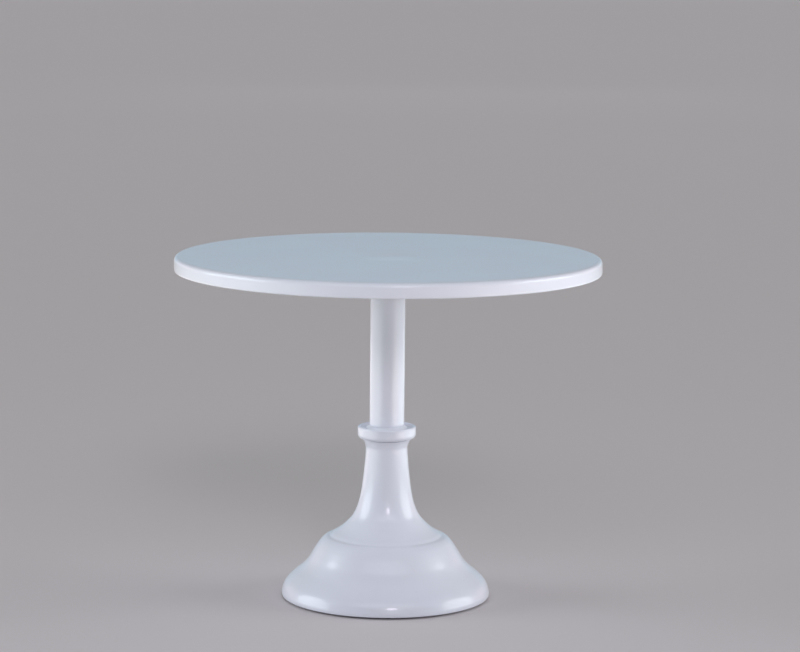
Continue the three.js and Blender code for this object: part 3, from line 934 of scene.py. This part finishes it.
def race_outline(node, inner, facing):
    """A bearing washer's outline, with its groove up (1) or down (-1)."""
    clearance = 0.12
    radius, bottom, top = span(node)
    flat, face = (bottom, top) if facing > 0 else (top, bottom)
    ball_radius, ball_z = span("bearing_ball_1")[0], middle("bearing_ball_1").z
    groove, circle = ball_radius + clearance, middle("bearing_ball_1").x
    reach = math.degrees(math.asin(abs(ball_z - face) / groove))
    ball_track = arc(circle, ball_z, groove, -reach, reach - 180, 20)
    return rounded(
        [
            (inner, flat, 0.3),
            (radius, flat, 0.3),
            (radius, face, 0.3),
            *[(r, z if facing > 0 else 2 * ball_z - z) for r, z in ball_track],
            (inner, face, 0.15),
        ]
    )


def build_lower_race():
    node = "bearing_lower_race"
    add(node, turned(node, race_outline(node, 5.1, 1), STEM_ROUND))


# ---------------------------------------------------------------- the ball cage


def build_ball_cage():
    radius, bottom, top = span("bearing_cage")
    hole, pocket, past = 5.3, 2.6, 1.0
    ring = turned("bearing_cage", flat_ring(hole, radius, bottom, top, 0.15), STEM_ROUND)
    cage = object_of("bearing_cage_shape", ring)
    pockets = []
    for ball in numbered("bearing_ball_"):
        place = middle(ball)
        pockets.append(drill(place, pocket, bottom - past, top + past))
        bm = bmesh.new()
        bmesh.ops.create_icosphere(bm, subdivisions=4, radius=span(ball)[0] * MM)
        bmesh.ops.translate(bm, vec=place * MM, verts=bm.verts)
        add(ball, bm)
    cut(cage, pockets)
    finish("bearing_cage", cage)


# ---------------------------------------------------------------- the turntable


def build_plate():
    """A pressed disc whose skirt ends in a folded hem. The hub pulls its middle down a hair."""
    radius, bottom, top = span("plate")
    under = top - PLATE_SHEET
    edge = PLATE_EDGE_RADIUS
    skirt, hem = radius - PLATE_SHEET, radius - PLATE_HEM

    def pulled(share):
        depth = PLATE_PULL_DEPTH * math.cos(math.pi / 2 * share) ** 2
        lean = PLATE_PULL_LEAN * share
        return lambda angle: (share * PLATE_PULL_RADIUS, top - depth * (1 + lean * math.cos(angle)))

    outline = rounded(
        [
            (0, under),
            (radius - edge - HOLD, under),
            *arc(radius - edge, top - edge, edge - PLATE_SHEET, 90, 0),
            (skirt, top - edge - HOLD),
            (skirt, bottom + PLATE_HEM + 0.2, 0.15),
            (hem, bottom + PLATE_HEM, 0.7),
            (hem, bottom, 1.3),
            (radius, bottom, 1.3),
            (radius, top - edge - HOLD),
            *arc(radius - edge, top - edge, edge, 0, 90, 12),
            (radius - edge - HOLD, top),
        ]
    )
    dip = [pulled(1 - i / PLATE_PULL_RINGS) for i in range(PLATE_PULL_RINGS + 1)]
    add("plate", turned("plate", outline + dip, LARGE_ROUND))


def build_hub():
    """A die-cast flange and boss, machined inside for the bush, the bearing and the seal."""
    radius, bottom, top = span("hub")
    flange = span("hub_washer_1")[2]
    boss, seal_seat, pocket = 18.0, 15.4, 12.5
    bush_seat, race_seat, cavity = 7.2, 12.3, 13.0
    stud_hole, past = 2.7, 2.0
    web_top = span("spindle_washer")[1] - 1.5
    seal_top = bottom + 2.8
    bearing_top = span("bearing_upper_race")[2]
    outline = rounded(
        [
            (seal_seat, bottom, 0.3),
            (boss, bottom, 1.0),
            (boss, flange, 3.0),
            (radius, flange, 1.2),
            (radius, top, 0.3),
            (pocket, top, 0.3),
            (pocket, web_top, 0.5),
            (bush_seat, web_top, 0.2),
            (bush_seat, bearing_top, 0.2),
            (race_seat, bearing_top, 0.2),
            (race_seat, bearing_top - 3.3, 0.2),
            (cavity, bearing_top - 3.9, 0.2),
            (cavity, seal_top, 0.2),
            (seal_seat, seal_top, 0.2),
        ]
    )
    hub = object_of("hub_shape", turned("hub", outline, STEM_ROUND))
    studs = numbered("plate_stud_")
    cut(hub, [drill(middle(stud), stud_hole, flange - past, top + past) for stud in studs])
    finish("hub", hub)


def build_hub_bush():
    radius, bottom, top = span("hub_bush")
    bore, body = 5.08, 7.0
    flange = top - 1.2
    outline = rounded(
        [
            (bore, bottom, 0.3),
            (body, bottom, 0.3),
            (body, flange),
            (radius, flange, 0.2),
            (radius, top, 0.2),
            (bore, top, 0.3),
        ]
    )
    add("hub_bush", turned("hub_bush", outline, STEM_ROUND))


def build_upper_race():
    node = "bearing_upper_race"
    add(node, turned(node, race_outline(node, 5.6, -1), STEM_ROUND))


def build_dust_seal():
    radius, bottom, top = span("hub_dust_seal")
    outline = flat_ring(span("stem_tube")[0] + 0.2, radius, bottom, top, 0.4)
    add("hub_dust_seal", turned("hub_dust_seal", outline, STEM_ROUND))


def build_plate_studs():
    chamfer = 0.4
    studs, washers, nuts = numbered("plate_stud_"), numbered("hub_washer_"), numbered("hub_nut_")
    for stud, washer, hub_nut in zip(studs, washers, nuts):
        radius, bottom, top = span(stud)
        rings = [(0, bottom), (radius - chamfer, bottom)]
        rings += thread(radius, M5_PITCH, bottom + chamfer, top - 0.2)
        add(stud, turned(stud, rings + [(radius, top), (0, top)], THREAD_ROUND))
        radius, bottom, top = span(washer)
        add(washer, turned(washer, flat_ring(M5_HOLE, radius, bottom, top, 0.15)))
        add(hub_nut, nut(hub_nut, M5_BORE))


def build_object():
    build_base_casting()
    build_base_cover()
    build_rubber_feet()
    build_collar()
    build_stem_seal_ring()
    build_stem_tube()
    build_tie_rod()
    build_tie_rod_fasteners()
    build_spindle()
    build_spindle_fasteners()
    build_lower_race()
    build_ball_cage()
    build_plate()
    build_hub()
    build_hub_bush()
    build_upper_race()
    build_dust_seal()
    build_plate_studs()


make_camera()
make_world()
make_lights()
make_floor()
build_object()
bpy.context.scene.view_settings.view_transform = "Standard"
